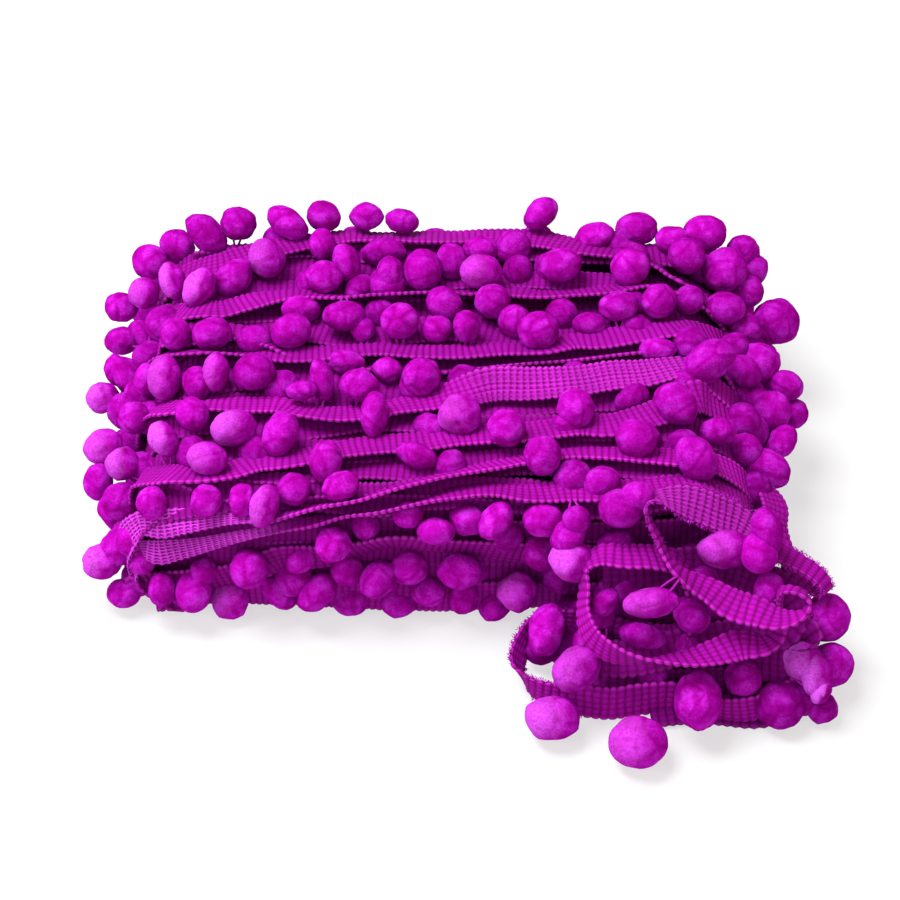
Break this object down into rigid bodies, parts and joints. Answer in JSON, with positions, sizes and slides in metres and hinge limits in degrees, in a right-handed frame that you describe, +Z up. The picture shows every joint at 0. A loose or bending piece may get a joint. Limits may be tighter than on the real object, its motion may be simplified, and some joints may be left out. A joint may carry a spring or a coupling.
{
  "type": "wound bundle of pompom fringe trim",
  "caption": "Flat bundle of wound magenta tape edged with felted pompoms, its loose tail lying in a loopy heap against one long side.",
  "frame": {"origin": "on the surface that the bundle lies on, under the middle of the whole with its tail", "axes": "+X along the wound turns to the right end where the tail leaves, +Y from the side with the heap to the far side, +Z up"},
  "size_m": [0.2, 0.1676, 0.0532],
  "materials": {
    "wound_magenta": "matt magenta cotton tape with felted pompoms",
    "tail_magenta": "matt magenta cotton tape with felted pompoms, a little frayed"
  },
  "bodies": {
    "root": {"wound_trim": "wound_magenta", "loose_tail": "tail_magenta"}
  },
  "joints": []
}
